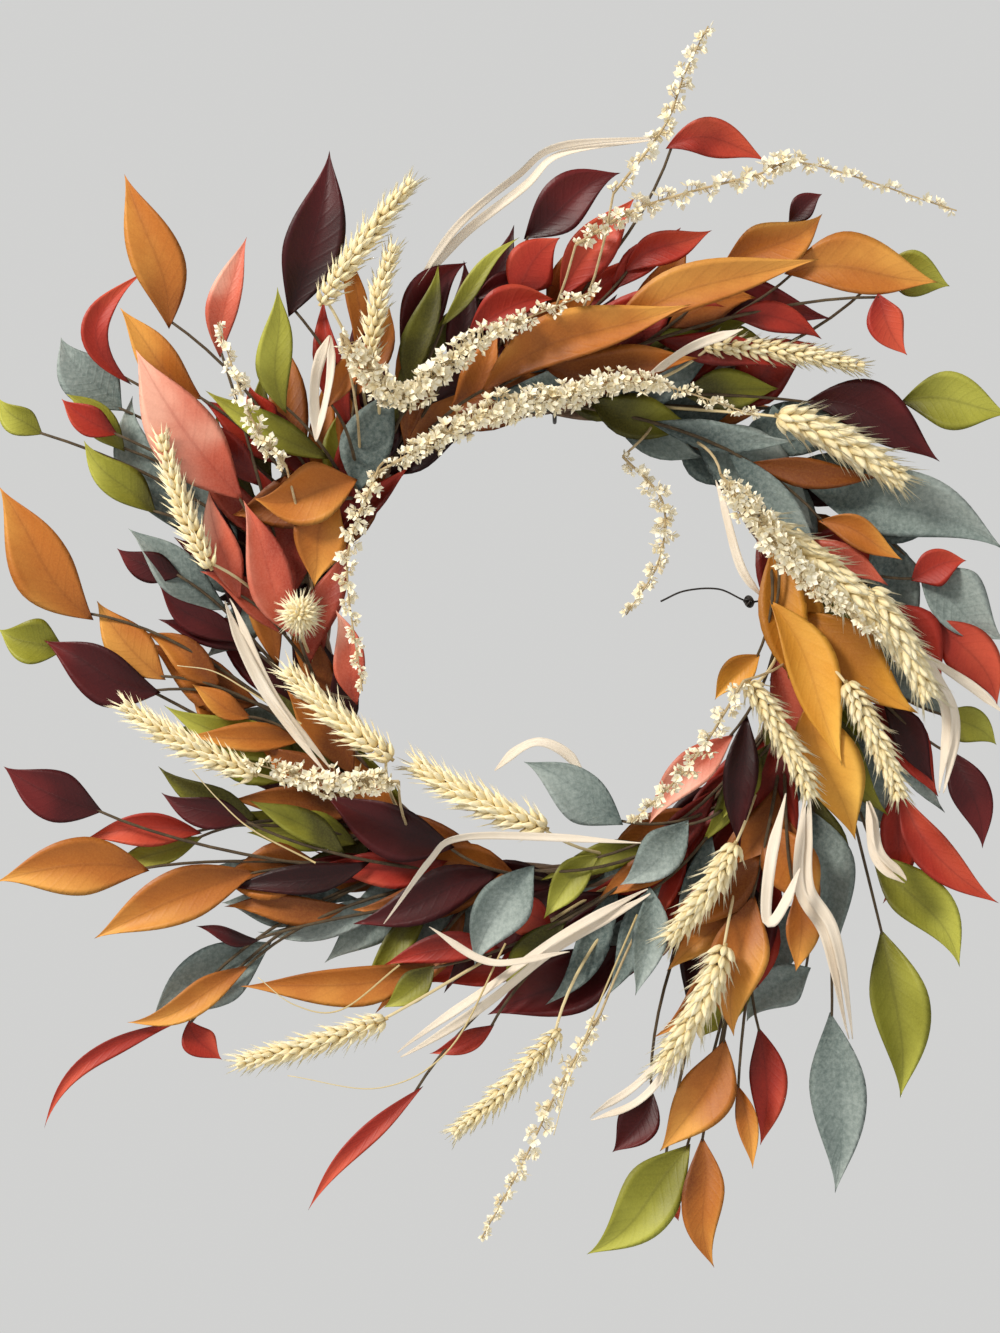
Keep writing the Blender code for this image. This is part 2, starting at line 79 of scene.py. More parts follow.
# Leaves and stems
LEAF_THICK = 0.5
LEAF_STEPS = 22
LEAF_ACROSS = 8
LEAF_TRIES = 16
LEAF_LEAN = 0.010
LEAF_CUP = (0.7, 1.35)
LEAF_TWIST = (-0.6, 0.6)
LEAF_CURL = (-0.06, 0.08)
LEAF_SWAY = (-0.035, 0.035)
LEAF_LOP = (-0.14, 0.14)
STEM_RADIUS = 0.95
STEM_SLOT = 1
STEM_CLIMB = 0.6
ROOT_Y = -9.0

# Small leaves that fill the wreath near its ring
FILLER_PITCH = 18.0
FILLER_TRIES = 11
FILLER_INWARD = 12.0
FILLER_OUTWARD = 100.0
FILLER_LONG = (52, 90)
FILLER_WIDE = (17.0, 31.0)
# Filler leaves take a darker tone range than the big leaves: painted shade for leaves lying under the top
# layer
FILLER_PAINTED_SHADE_TONE = (-0.7, 0.4)
FILLER_STEPS = 12
FILLER_ACROSS = 6
OTHER_SLOT = 2
KNOT_LEAVES = 3
KNOT_LEAF_WIDTH = 26
UNDER_PITCH = 20
UNDER_WIDTH = 28

# Ears, blossoms, raffia and vine
EAR_STEPS = 24
EAR_PITCH = 5.4
EAR_ROUND = 7
EAR_AWNS = 3
SHORT_EAR = 35.0
END_ON_GRAINS = 64
GRAIN_SIDES = 6
AWN_RADIUS = 0.42
BLOSSOM_PITCH = 1.9
BLOSSOM_SIZE = (3.8, 5.3)
RAFFIA_STEPS = 36
RAFFIA_STRIP = 5.0
RAFFIA_HALF_THICK = 0.14
STRAW_STEPS = 30
VINE_STRANDS = 7
VINE_STEPS = 240
VINE_TWISTS = 5

# Leaf sprays: name, whose first word is its colour, root clock, and for each leaf its foot
# (across, up), its tip (across, up), its width, and how far it bows to its left.
SPRAYS = (
    ("sage_spray_upper_left", 285, (
        (-240, 127, -273, 167, 30, 3), (-210, 61, -235, 136, 28, 8), (-183, 17, -237, 62, 25, 2))),
    ("sage_spray_bottom_left", 188, (
        (-136, -157, -186, -146, 19, -3), (-86, -146, -166, -162, 17, 4),
        (-62, -135, -129, -180, 30, -6), (-158, -168, -224, -212, 34, -5))),
    ("sage_spray_right", 12, (
        (202, 41, 249, 0, 33, -3), (138, 88, 248, 50, 38, 4), (73, 118, 145, 61, 38, 8))),
    ("sage_spray_lower_right", 80, (
        (142, -94, 156, -176, 26, 3), (152, -206, 153, -304, 31, 4), (142, -182, 106, -212, 25, -5))),
    ("green_spray_top_right", 8, (
        (191, 132, 249, 124, 32, 4), (178, 204, 217, 195, 25, 2))),
    ("green_spray_upper_left", 282, (
        (-238, 104, -269, 135, 17, -3), (-221, 70, -260, 110, 21, 3), (-282, 113, -306, 133, 17, 2))),
    ("green_spray_left", 214, (
        (-272, -5, -308, 6, 26, 2), (-136, -66, -218, -36, 22, 3), (-111, -114, -172, -107, 23, -3),
        (-196, -109, -250, -132, 15, -2))),
    ("green_spray_right", 76, (
        (180, -160, 190, -253, 32, 3), (175, -118, 222, -180, 29, 5), (213, -41, 244, -58, 21, 3))),
    ("red_spray_upper_left", 294, (
        (-233, 140, -225, 203, 15, 22), (-241, 113, -271, 132, 17, 2), (-155, 115, -169, 141, 15, 2))),
    ("red_spray_bottom_left", 206, (
        (-207, -210, -280, -267, 10, -14), (-202, -209, -184, -231, 18, -3),
        (-196, -107, -260, -110, 19, -5))),
    ("red_spray_right", 58, (
        (208, 11, 244, -36, 28, 6), (197, 33, 227, 44, 21, 3), (191, -83, 244, -145, 22, -9))),
    ("burgundy_spray_left", 244, (
        (-208, 36, -243, 51, 18, 2), (-174, -1, -219, 30, 17, 3), (-219, -29, -283, 0, 30, 3))),
    ("burgundy_spray_right", 72, ((216, -60, 235, -115, 22, 4),)),
    ("burgundy_spray_top_right", 357, (
        (59, 187, 153, 178, 26, 4), (128, 230, 146, 245, 14, 1), (138, 132, 213, 99, 30, 7))),
    ("rust_spray_upper_left", 290, (
        (-212, 170, -235, 253, 29, -4), (-194, 132, -238, 181, 22, 4), (-111, 160, -116, 218, 12, -4))),
    ("rust_spray_left", 236, (
        (-255, 11, -305, 84, 34, 4), (-216, -22, -254, 22, 25, 3), (-169, -43, -202, -24, 14, 2))),
    ("rust_spray_bottom_left", 192, (
        (-224, -127, -306, -132, 32, -6), (-166, -128, -254, -164, 30, -3),
        (-169, -179, -235, -209, 17, 5), (-64, -176, -174, -190, 22, 7))),
    ("rust_spray_top_right", 352, (
        (125, 201, 208, 195, 33, 4), (90, 204, 146, 234, 28, -3), (145, 66, 191, 44, 17, 3))),
    ("burgundy_spray_bottom_left", 178, (
        (-249, -94, -302, -69, 28, 3), (-169, -100, -218, -84, 18, 2), (-56, -115, -129, -85, 30, 3),
        (-163, -165, -198, -157, 9, 1))),
    ("burgundy_spray_bottom", 128, (
        (37, -170, -38, -208, 36, 4), (43, -154, -9, -168, 15, -2), (54, -251, 31, -283, 23, 3))),
    ("burgundy_spray_top", 314, (
        (-147, 177, -124, 267, 32, -4), (-18, 220, 35, 255, 28, 3), (-45, 187, -1, 195, 15, 5),
        (-86, 162, -49, 208, 25, 4))),
    ("red_spray_top", 332, (
        (-23, 187, 2, 220, 28, 4), (2, 187, 43, 242, 25, 3), (-48, 170, -1, 187, 22, 4),
        (37, 201, 85, 224, 19, 3), (59, 267, 113, 260, 21, 8), (175, 189, 191, 155, 20, -3))),
    ("red_spray_bottom", 152, (
        (-2, -160, -37, -146, 22, -3), (-34, -212, -70, -228, 12, 2), (-73, -245, -136, -312, 11, -5))),
    ("red_spray_lower_right", 112, (
        (112, -214, 112, -278, 21, 4), (57, -302, 67, -319, 10, 1))),
    ("green_spray_bottom", 102, (
        (73, -275, 16, -334, 33, 4), (114, -63, 92, -99, 18, -2), (24, -119, -7, -154, 19, -3),
        (-67, -179, -95, -202, 17, 2))),
    ("rust_spray_lower_right", 104, (
        (109, -140, 97, -217, 32, -5), (131, -138, 131, -182, 19, 3), (92, -218, 56, -279, 30, 4),
        (79, -270, 85, -340, 23, -3), (98, -242, 106, -287, 12, 2))),
    ("sage_spray_bottom", 126, (
        (-12, -124, -45, -179, 30, -4), (51, -135, 43, -195, 20, 4), (73, -99, 35, -135, 25, 4),
        (37, -102, -18, -67, 28, -3))),
    ("rust_spray_top", 322, (
        (24, 160, 142, 206, 25, 10), (-42, 135, 73, 182, 28, 8))),
    ("green_spray_top_left", 304, (
        (-148, 124, -152, 192, 20, 3), (-64, 171, -20, 220, 10, 2))),
    ("coral_spray_left", 258, (
        (-172, 77, -229, 158, 38, 4), (-141, 0, -172, 77, 25, 2), (-174, 22, -191, 83, 19, 2),
        (-110, -36, -122, 17, 18, -2), (-184, 154, -169, 220, 18, 3))),
    ("coral_spray_inner_right", 66, ((98, -52, 51, -102, 21, -4),)),
    ("gold_spray_right", 52, (
        (117, 22, 156, -69, 28, 4), (140, -31, 164, -110, 36, -4), (112, -8, 87, -33, 17, -2))),
    ("rust_spray_inner_left", 306, (
        (-125, 127, -107, 165, 14, -2), (-109, 88, -165, 77, 33, 4), (-119, 77, -133, 29, 30, -5))),
)

# Wheat picks: name, root clock, and for each ear its foot, its tip, its width over the awns and
# its bow.
WHEAT_PICKS = (
    ("wheat_pick_top_left", 308, ((-129, 181, -75, 251, 19, 2), (-102, 148, -87, 217, 17, 3))),
    ("wheat_pick_left", 262, ((-188, 38, -216, 115, 19, 3), (-140, 2, -141, 26, 24, 0))),
    ("wheat_pick_lower_left", 214, ((-163, -74, -238, -33, 21, 3), (-89, -66, -150, -14, 23, 2))),
    ("wheat_pick_bottom", 150, (
        (-4, -104, -81, -66, 26, 3), (-92, -206, -177, -230, 20, 2), (2, -212, -60, -270, 17, 3))),
    ("wheat_pick_lower_right", 112, ((98, -110, 59, -165, 25, 3), (92, -165, 54, -236, 28, 3))),
    ("wheat_pick_inner_right", 78, ((103, -22, 139, -88, 23, 3), (156, -22, 186, -88, 22, 2))),
    ("wheat_pick_right", 42, ((106, 66, 191, -11, 33, 4), (167, 28, 200, -33, 30, 2))),
    ("wheat_pick_top_right", 6, ((79, 162, 172, 148, 18, 3), (120, 124, 191, 85, 33, 4))),
)

# Floret sprigs: name, root clock, and the stem's points in order.
FLORET_SPRIGS = (
    ("floret_sprig_top", 340, ((10, 214), (46, 234), (106, 250), (134, 256), (214, 230))),
    ("floret_sprig_tip", 346, ((30, 240), (57, 275), (68, 303), (80, 327))),
    ("floret_sprig_inner_left", 318, ((-97, 94), (-114, 44), (-106, -28))),
    ("floret_sprig_upper_left", 300, ((-117, 165), (-86, 132), (-42, 162), (24, 190))),
    ("floret_sprig_inner_top", 306, ((-92, 94), (-42, 121), (2, 132), (46, 140), (109, 121))),
    ("floret_sprig_left", 274, ((-147, 94), (-166, 121), (-183, 171))),
    ("floret_sprig_hanging", 22, ((37, 102), (59, 77), (57, 44), (39, 14))),
    ("floret_sprig_right", 32, ((87, 88), (123, 44), (172, 0))),
    ("floret_sprig_inner_right", 88, ((101, -22), (73, -66), (40, -99))),
    ("floret_sprig_lower_left", 212, ((-86, -77), (-125, -77), (-169, -66))),
    ("floret_sprig_bottom", 140, ((24, -204), (2, -242), (-20, -286), (-41, -323))),
)

# Raffia strands: name, width, and the strand's points in order.
RAFFIA_STRANDS = (
    ("raffia_strand_top", 10, ((-81, 187), (-53, 223), (-20, 250), (2, 267), (57, 273))),
    ("raffia_strand_bottom", 12, ((51, -138), (2, -165), (-40, -196), (-86, -226))),
    ("raffia_strand_lower_right", 10, ((136, -83), (134, -132), (149, -160), (158, -216))),
)

# Finer raffia that the CAD leaves out: name, width, how far forward it lies, and its points.
FINE_RAFFIA = (
    ("raffia_wisp_left_top", 12, 46, ((-123, 165), (-128, 137), (-131, 108))),
    ("raffia_wisp_top_right", 7, 40, ((101, 170), (72, 158), (46, 143))),
    ("raffia_wisp_inner_bottom", 4, 44, ((46, -110), (-5, -108), (-53, -109), (-70, -121), (-95, -154))),
    ("raffia_wisp_bottom", 5, 40, ((-70, -157), (-42, -173), (-20, -175), (7, -171))),
    ("raffia_loop_bottom", 4, 26, ((-34, -72), (-22, -60), (-9, -56), (6, -64), (18, -80))),
    ("raffia_wisp_right_loop", 7, 54, ((123, -83), (116, -118), (114, -151), (124, -140), (132, -124))),
    ("raffia_wisp_far_right", 9, 44, ((191, 0), (206, -22), (213, -44), (208, -83))),
    ("raffia_wisp_right_tip", 6, 40, ((200, -6), (222, -24), (242, -39))),
    ("raffia_wisp_right_low", 8, 38, ((169, -88), (175, -116), (189, -132))),
    ("raffia_wisp_inner_right", 6, 30, ((87, 88), (101, 44), (114, 22))),
    ("raffia_wisp_left", 8, 38, ((-180, 22), (-158, -28), (-125, -72))),
    ("raffia_wisp_bottom_right", 12, 44, ((79, -198), (46, -242), (18, -259))),
)

# Hair-thin straws: name, how far forward, and the points from the foliage out
FINE_STRAWS = (
    ("straw_left", 36, ((-140, -46), (-170, -27), (-188, -17), (-207, -14))),
    ("straw_lower_left", 34, ((-132, -122), (-166, -104), (-184, -88), (-199, -71))),
    ("straw_bottom_left", 30, ((-86, -178), (-118, -202), (-143, -199), (-163, -184))),
    ("straw_bottom", 36, ((-28, -166), (-58, -222), (-96, -243), (-146, -236))),
    ("straw_bottom_right", 40, ((44, -150), (22, -200), (6, -240), (-2, -268))),
)

# Leaf colours: shade, body and light tone, linear, and roughness
LEAF_TONES = {
    "rust_leaf": ((0.17, 0.040, 0.006), (0.47, 0.145, 0.020), (0.76, 0.35, 0.065), 0.45),
    "gold_leaf": ((0.36, 0.125, 0.010), (0.70, 0.31, 0.034), (0.88, 0.49, 0.085), 0.47),
    "burgundy_leaf": ((0.014, 0.0015, 0.0015), (0.060, 0.0045, 0.0055), (0.150, 0.013, 0.013), 0.44),
    "red_leaf": ((0.11, 0.006, 0.004), (0.39, 0.026, 0.013), (0.64, 0.095, 0.045), 0.46),
    "coral_leaf": ((0.27, 0.028, 0.014), (0.60, 0.115, 0.060), (0.90, 0.46, 0.33), 0.44),
    "green_leaf": ((0.050, 0.044, 0.006), (0.25, 0.240, 0.022), (0.47, 0.46, 0.070), 0.48),
    "sage_leaf": ((0.075, 0.105, 0.098), (0.215, 0.262, 0.240), (0.41, 0.46, 0.425), 0.85),
}

# Leaves that mix in among a spray's own, and that grow under the sprays
OTHER_LEAVES = ("burgundy_leaf", "rust_leaf", "sage_leaf", "green_leaf", "red_leaf")

# Shade, body and light tone of dry straw
STRAW_TONES = {
    "wheat": ((0.46, 0.30, 0.10), (0.84, 0.69, 0.37), (0.95, 0.87, 0.62)),
    "straw": ((0.40, 0.28, 0.10), (0.66, 0.52, 0.26), (0.80, 0.68, 0.42)),
}

# Shade, body and light tone of bark, and how fine its patches are
BARK_TONES = {
    "vine": ((0.035, 0.018, 0.010), (0.12, 0.066, 0.036), (0.26, 0.16, 0.09), 120.0),
    "twig": ((0.24, 0.15, 0.06), (0.50, 0.37, 0.19), (0.70, 0.57, 0.34), 200.0),
    "stem_bark": ((0.020, 0.014, 0.008), (0.075, 0.048, 0.022), (0.17, 0.115, 0.055), 200.0),
}

# Sprigs thick with blossoms; the others are sparse
LUSH_SPRIGS = (
    "floret_sprig_inner_top", "floret_sprig_upper_left", "floret_sprig_right", "floret_sprig_lower_left",
)

# Stage, in metres
FLOOR_RADIUS = 3.2
FLOOR_HEIGHT = -1.5
FLOOR_SIDES = 96
VIEW_HEIGHT = 0.733
VIEW_DISTANCE = 1.60
VIEW_MIDDLE = (-0.031, -0.05, -0.0145)

dice = random.Random(7)


# Layout helpers


def turns_of(count):
    """Evenly spaced angles of one full turn."""
    return [2 * math.pi * k / count for k in range(count)]


def flare(across, up):
    return -FLARE * max(0.0, math.hypot(across, up) - RING_RADIUS)


def place(across, up, forward=0.0):
    """A point of the wreath in millimetres, forward of the stems' first layer."""
    return Vector((across, FRONT_Y + flare(across, up) - forward, up + CENTRE_Z))


def on_ring(clock):
    angle = math.radians(clock)
    spot = Vector((math.sin(angle), math.cos(angle))) * RING_RADIUS
    return spot, Vector((math.cos(angle), -math.sin(angle)))


def left_of(way):
    return Vector((-way.y, way.x))


def turned(way, degrees):
    a = math.radians(degrees)
    return Vector((way.x * math.cos(a) - way.y * math.sin(a), way.x * math.sin(a) + way.y * math.cos(a)))


def bent(start, bend, end, t):
    return start * (1 - t) ** 2 + bend * 2 * t * (1 - t) + end * t * t


def midline(item):
    foot, tip = Vector(item[0:2]), Vector(item[2:4])
    along = (tip - foot).normalized()
    return foot, (foot + tip) / 2 + left_of(along) * 2 * item[5], tip


def smooth_path(points, steps):
    """Evenly counted points of a Catmull-Rom curve through the given points."""
    points = [Vector(p) for p in points]
    ends = [points[0] * 2 - points[1], *points, points[-1] * 2 - points[-2]]
    path = []
    for i in range(steps + 1):
        place_on = min(i / steps * (len(points) - 1), len(points) - 1 - 1e-6)
        k, t = int(place_on), place_on - int(place_on)
        a, b, c, d = ends[k : k + 4]
        path.append(
            (b * 2 + (c - a) * t + (a * 2 - b * 5 + c * 4 - d) * t * t
             + (b * 3 - a - c * 3 + d) * t ** 3) / 2
        )
    return path


def length_of(path):
    return sum((b - a).length for a, b in zip(path, path[1:]))


# Meshes


def in_scene(name, data):
    made = bpy.data.objects.new(name, data)
    bpy.context.scene.collection.objects.link(made)
    return made


class Shape:
    """One mesh being built, with a grain attribute: across, along and a tone for each point."""

    def __init__(self):
        self.points, self.faces, self.slots, self.grain = [], [], [], []

    def skin(self, rows, marks, slot=0, closed=False):
        """Faces over rows of points. A row of one point is an end; other rows go round."""
        starts = []
        for row, row_marks in zip(rows, marks):
            starts.append(len(self.points))
            self.points += row
            self.grain += row_marks
        pairs = [(k, k + 1) for k in range(len(rows) - 1)]
        if closed:
            pairs.append((len(rows) - 1, 0))
        for i, j in pairs:
            n, m = len(rows[i]), len(rows[j])
            for k in range(max(n, m)):
                near = [starts[i] + k % n, starts[i] + (k + 1) % n]
                far = [starts[j] + (k + 1) % m, starts[j] + k % m]
                self.faces.append(list(dict.fromkeys(near + far)))
                self.slots.append(slot)
        for end in (0, len(rows) - 1):
            if not closed and len(rows[end]) > 2:
                self.faces.append([starts[end] + k for k in range(len(rows[end]))])
                self.slots.append(slot)

    def tube(self, path, radii, sides, slot=0, tone=0.5, closed=False):
        count, rows, marks, side = len(path), [], [], None
        for i, at in enumerate(path):
            before = path[i - 1] if closed or i else at
            after = path[(i + 1) % count] if closed or i < count - 1 else at
            along = (after - before).normalized()
            if side is None:
                side = along.orthogonal().normalized()
            side = (side - along * side.dot(along)).normalized()
            up = along.cross(side)
            rows.append([at + (side * math.cos(a) + up * math.sin(a)) * radii[i] for a in turns_of(sides)])
            marks.append([(k / sides, i / count, tone) for k in range(sides)])
        self.skin(rows, marks, slot, closed)

    def join(self, other):
        start = len(self.points)
        self.points += other.points
        self.faces += [[start + k for k in face] for face in other.faces]
        self.slots += other.slots
        self.grain += other.grain

    def object(self, name, materials, smooth=True):
        mesh = bpy.data.meshes.new(name)
        mesh.from_pydata([p * MM for p in self.points], [], self.faces)
        grain = mesh.attributes.new("grain", "FLOAT_VECTOR", "POINT")
        for item, value in zip(grain.data, self.grain):
            item.vector = value
        for material in materials:
            mesh.materials.append(material)
        for polygon, slot in zip(mesh.polygons, self.slots):
            polygon.material_index = slot
            polygon.use_smooth = smooth
        mesh.update()
        return in_scene(name, mesh)


class Crowd:
    """The leaves placed so far, which a new leaf should not cut through."""

    def __init__(self):
        self.points, self.faces, self.tree, self.recent = [], [], None, []

    def add(self, shape):
        start = len(self.points)
        self.points += shape.points
        self.faces += [[start + k for k in face] for face in shape.faces]

    def settle(self):
        self.tree = BVHTree.FromPolygons(self.points, self.faces)
        self.recent = []

    def takes(self, shape):
        """Adds a leaf if it cuts through no other, and says whether it did."""
        leaf = BVHTree.FromPolygons(shape.points, shape.faces)
        if self.tree.overlap(leaf) or any(other.overlap(leaf) for other in self.recent):
            return False
        self.add(shape)
        self.recent.append(leaf)
        return True


def find_lift(node, spots):
    """How far forward of the first layer a CAD node lies; spots are its (point, radius) there."""
    low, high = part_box(node)
    back = max(p.y + radius for p, radius in spots)
    front = min(p.y - radius for p, radius in spots)
    return (front + back) / 2 - (low.y + high.y) / 2 / MM


def stand_for(made, node):
    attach(made, "root")
    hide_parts(node)


def add_detail(made):
    """A piece that the CAD leaves out."""
    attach(made, "root")


# Leaves


def add_leaf(shape, item, layer, tone, cup, twist, lean=0.0, slot=0, steps=LEAF_STEPS, columns=LEAF_ACROSS):
    """A thin lanceolate leaf: cupped, softly folded on its midrib, arched and a little twisted.

    Layer is how far forward it lies, and lean is how far it rises towards the viewer over its
    length, as a share of that length.
    """
    foot, bend, tip = midline(item)
    long = (tip - foot).length
    wave = dice.uniform(0, 2 * math.pi)
    curl = dice.uniform(*LEAF_CURL) * long
    sway = dice.uniform(*LEAF_SWAY) * long
    lop = dice.uniform(*LEAF_LOP)
    rows, marks = [[place(*foot, layer)]], [[(0.0, 0.0, tone)]]
    for k in range(1, steps):
        t = k / steps
        at, ahead = bent(foot, bend, tip, t), bent(foot, bend, tip, t + 0.02)
        swell = t / LEAF_BROADEST if t < LEAF_BROADEST else (1 - t) / (1 - LEAF_BROADEST)
        half = item[4] / 2 * math.sin(math.pi / 2 * swell) ** (1.05 + 0.35 * t)
        left = left_of((ahead - at).normalized())
        at = at + left * (sway * math.sin(2 * math.pi * t))
        rise = layer + long * (LEAF_ARCH * math.sin(math.pi * t) + lean * t) - curl * t ** 3
        turn = twist * (t - 0.4)
        top, under, top_marks, under_marks = [], [], [], []
        for j in range(columns + 1):
            u = 2 * j / columns - 1
            fold = cup * (0.15 * abs(u) ** 1.3 + 0.09 * u * u) * half * 2
            ripple = 0.08 * half * u * u * math.sin(wave + 8 * t + 1.3 * u)
            forward = rise + fold + ripple + u * half * math.sin(turn)
            spot = at + left * (u * half * (1 + lop * u) * math.cos(turn))
            top.append(place(*spot, forward + LEAF_THICK / 2))
            top_marks.append((u, t, tone))
            if 0 < j < columns:
                under.append(place(*spot, forward - LEAF_THICK / 2))
                under_marks.append((u, t, tone))
        rows.append(top + under[::-1])
        marks.append(top_marks + under_marks[::-1])
    rows.append([place(*tip, layer + long * lean - curl)])
    marks.append([(0.0, 1.0, tone)])
    shape.skin(rows, marks, slot)


def petiole(clock, index, count, item, steps=12):
    """A stem's (across, up) points from its knot on the ring to the foot of its leaf or ear."""
    start, clockwise = on_ring(clock)
    end = bent(*midline(item), 0.06)
    way = (end - start).normalized()
    onward = max(0.0, way.dot(clockwise))
    turn = (start + end) / 2 + (clockwise - way / 2) * ((end - start).length * STEM_BEND * onward)
    around = 2 * math.pi * (index + 0.5) / count
    flat = []
    for k in range(steps + 1):
        t = k / steps
        spread = KNOT_SPREAD * (1 - t) if count > 1 else 0.0
        flat.append(bent(start, turn, end, t) + left_of(clockwise) * spread * math.cos(around))
    return flat


def stem_layers(flat, lift, climb_over):
    """How far forward each point of a stem is: it comes out of the vine, then keeps its layer."""
    layers = []
    for k in range(len(flat)):
        t = min(1.0, k / (len(flat) - 1) / climb_over)
        climb = (3 - 2 * t) * t * t
        layers.append(FRONT_Y - ROOT_Y + (lift - FRONT_Y + ROOT_Y) * climb)
    return layers


def add_stem(shape, flat, layers, radius):
    path = [place(*at, layer) for at, layer in zip(flat, layers)]
    radii = [radius * (1.2 - 0.4 * k / len(path)) for k in range(len(path))]
    shape.tube(path, radii, 7, STEM_SLOT)


def add_filler(shape, foot, way, width, layer, top):
    """One of the leaves, toned darker as painted shade, that fill a spray near the ring, clear of the open
    middle.

    It starts on the given layer, stays under the top one, and is left out where it finds no room.
    """
    for _ in range(FILLER_TRIES):
        size = dice.uniform(*FILLER_LONG)
        tip = foot + turned(way, dice.uniform(-14, 14)) * size
        nearest = min(tip.length, ((foot + tip) / 2).length)
        if nearest < RING_RADIUS - FILLER_INWARD or tip.length > RING_RADIUS + FILLER_OUTWARD:
            continue
        wide = min(FILLER_WIDE[1], max(FILLER_WIDE[0], width * dice.uniform(0.75, 1.05)))
        item = (*foot, *tip, wide, dice.uniform(-6, 6))
        # The darker filler tone is painted shade
        tone, cup, twist = dice.uniform(*FILLER_PAINTED_SHADE_TONE), dice.uniform(0.6, 1.2), dice.uniform(*LEAF_TWIST)
        lean = min(dice.uniform(-0.20, 0.22), (top - 3 - layer) / size)
        candidate = Shape()
        slot = dice.choice((0, 0, OTHER_SLOT))
        add_leaf(candidate, item, layer, tone, cup, twist, lean, slot, FILLER_STEPS, FILLER_ACROSS)
        if crowd.takes(candidate):
            shape.join(candidate)
            return


def add_fillers(shape, flat, layers, width):
    """Filler leaves in turn on both sides of a stem on its way out to the big leaf."""
    count = max(1, int(length_of(flat) / FILLER_PITCH))
    for n in range(count):
        k = min(int((n + 0.4) / count * (len(flat) - 1)), len(flat) - 2)
        way = turned((flat[k + 1] - flat[k]).normalized(), (1 if n % 2 else -1) * dice.uniform(10, 32))
        add_filler(shape, flat[k], way, width, layers[k] - 1.5, layers[-1])


class Spray:
    """A leaf spray: its stems and big leaves first, then the fillers, then the finished piece."""

    def __init__(self, name, clock, items, other_leaf):
        self.name, self.clock, self.items = name, clock, items
        self.leaf_slot = name.split("_")[0] + "_leaf"
        self.materials = [leaves[self.leaf_slot], stem_bark, leaves[other_leaf]]
        self.shape = Shape()
        self.stems = [petiole(clock, index, len(items), item) for index, item in enumerate(items)]
        self.lift = find_lift(name, self.spots())
        crowd.settle()
        for flat, item in zip(self.stems, items):
            add_stem(self.shape, flat, stem_layers(flat, self.lift, STEM_CLIMB), STEM_RADIUS)
            self.shape.join(self.big_leaf(item))

    def big_leaf(self, item):
        """A big leaf, shaped anew until it cuts through no other.

        Each try is flatter and may lean more, and the last one stays even if it still cuts one.
        """
        tone = dice.uniform(0.25, 1.0)
        for tries in range(LEAF_TRIES):
            bold = 1 - tries / LEAF_TRIES
            leaf = Shape()
            cup, twist = dice.uniform(*LEAF_CUP) * bold, dice.uniform(*LEAF_TWIST) * bold
            lean = dice.uniform(-LEAF_LEAN, LEAF_LEAN) * tries
            add_leaf(leaf, item, self.lift, tone, cup, twist, lean)
            if crowd.takes(leaf):
                return leaf
        crowd.add(leaf)
        return leaf

    def spots(self):
        """The knot's and big leaves' points and radii on the first layer."""
        spots = [(place(*stem[0]), KNOT_RADIUS) for stem in self.stems]
        for item in self.items:
            foot, bend, tip = midline(item)
            arch = (tip - foot).length * LEAF_ARCH
            for t in (0.0, 0.25, 0.5, 0.75, 1.0):
                spots.append((place(*bent(foot, bend, tip, t), arch * math.sin(math.pi * t)), 1.5))
        return spots

    def fill(self):
        crowd.settle()
        for flat, item in zip(self.stems, self.items):
            add_fillers(self.shape, flat, stem_layers(flat, self.lift, STEM_CLIMB), item[4])
        knot, clockwise = on_ring(self.clock)
        for _ in range(KNOT_LEAVES):
            way = turned(clockwise, dice.uniform(-4, 50))
            add_filler(self.shape, knot, way, KNOT_LEAF_WIDTH, dice.uniform(-4, 8), self.lift)
        stand_for(self.shape.object(f"{self.name}_leaves", self.materials), self.name)


def under_leaves(leaf_slot, start):
    """Leaves that grow from the vine itself, behind and between the sprays."""
    shape = Shape()
    crowd.settle()
    for clock in range(start, 360, UNDER_PITCH):
        spot, clockwise = on_ring(clock + dice.uniform(-8, 8))
        foot = spot + spot.normalized() * 6
        way = turned(clockwise, dice.uniform(10, 52))
        add_filler(shape, foot, way, UNDER_WIDTH, dice.uniform(-20, 2), 20)
    leaf = leaves[leaf_slot]
    add_detail(shape.object(f"under_{leaf_slot}", [leaf, stem_bark, leaf]))


# Wheat ears and straws


def frame_at(path, k):
    before, after = path[max(k - 1, 0)], path[min(k + 1, len(path) - 1)]
    along = (after - before).normalized()
    side = along.cross(Vector((0, 1, 0))).normalized()
    return along, side, side.cross(along)


def add_grain(shape, foot, way, long, wide, tone):
    """One husked grain: a pointed spindle."""
    stations = ((0.22, 0.85), (0.45, 1.0), (0.76, 0.6))
    side = way.orthogonal().normalized()
    up = way.cross(side)
    rows, marks = [[foot]], [[(0.0, 0.0, tone)]]
    for t, swell in stations:
        spread = wide / 2 * swell
        middle = foot + way * (long * t)
        turns = turns_of(GRAIN_SIDES)
        rows.append([middle + (side * math.cos(a) + up * math.sin(a)) * spread for a in turns])
        marks.append([(k / GRAIN_SIDES, t, tone) for k in range(GRAIN_SIDES)])
    rows.append([foot + way * long])
    marks.append([(0.0, 1.0, tone)])
    shape.skin(rows, marks)


def add_awn(shape, foot, way, long, tone):
    side = way.orthogonal().normalized()
    up = way.cross(side)
    ring = [foot + (side * math.cos(a) + up * math.sin(a)) * AWN_RADIUS for a in (0, 2.1, 4.2)]
    shape.skin([ring, [foot + way * long]], [[(0, 0.8, tone)] * 3, [(0, 1.0, tone)]])


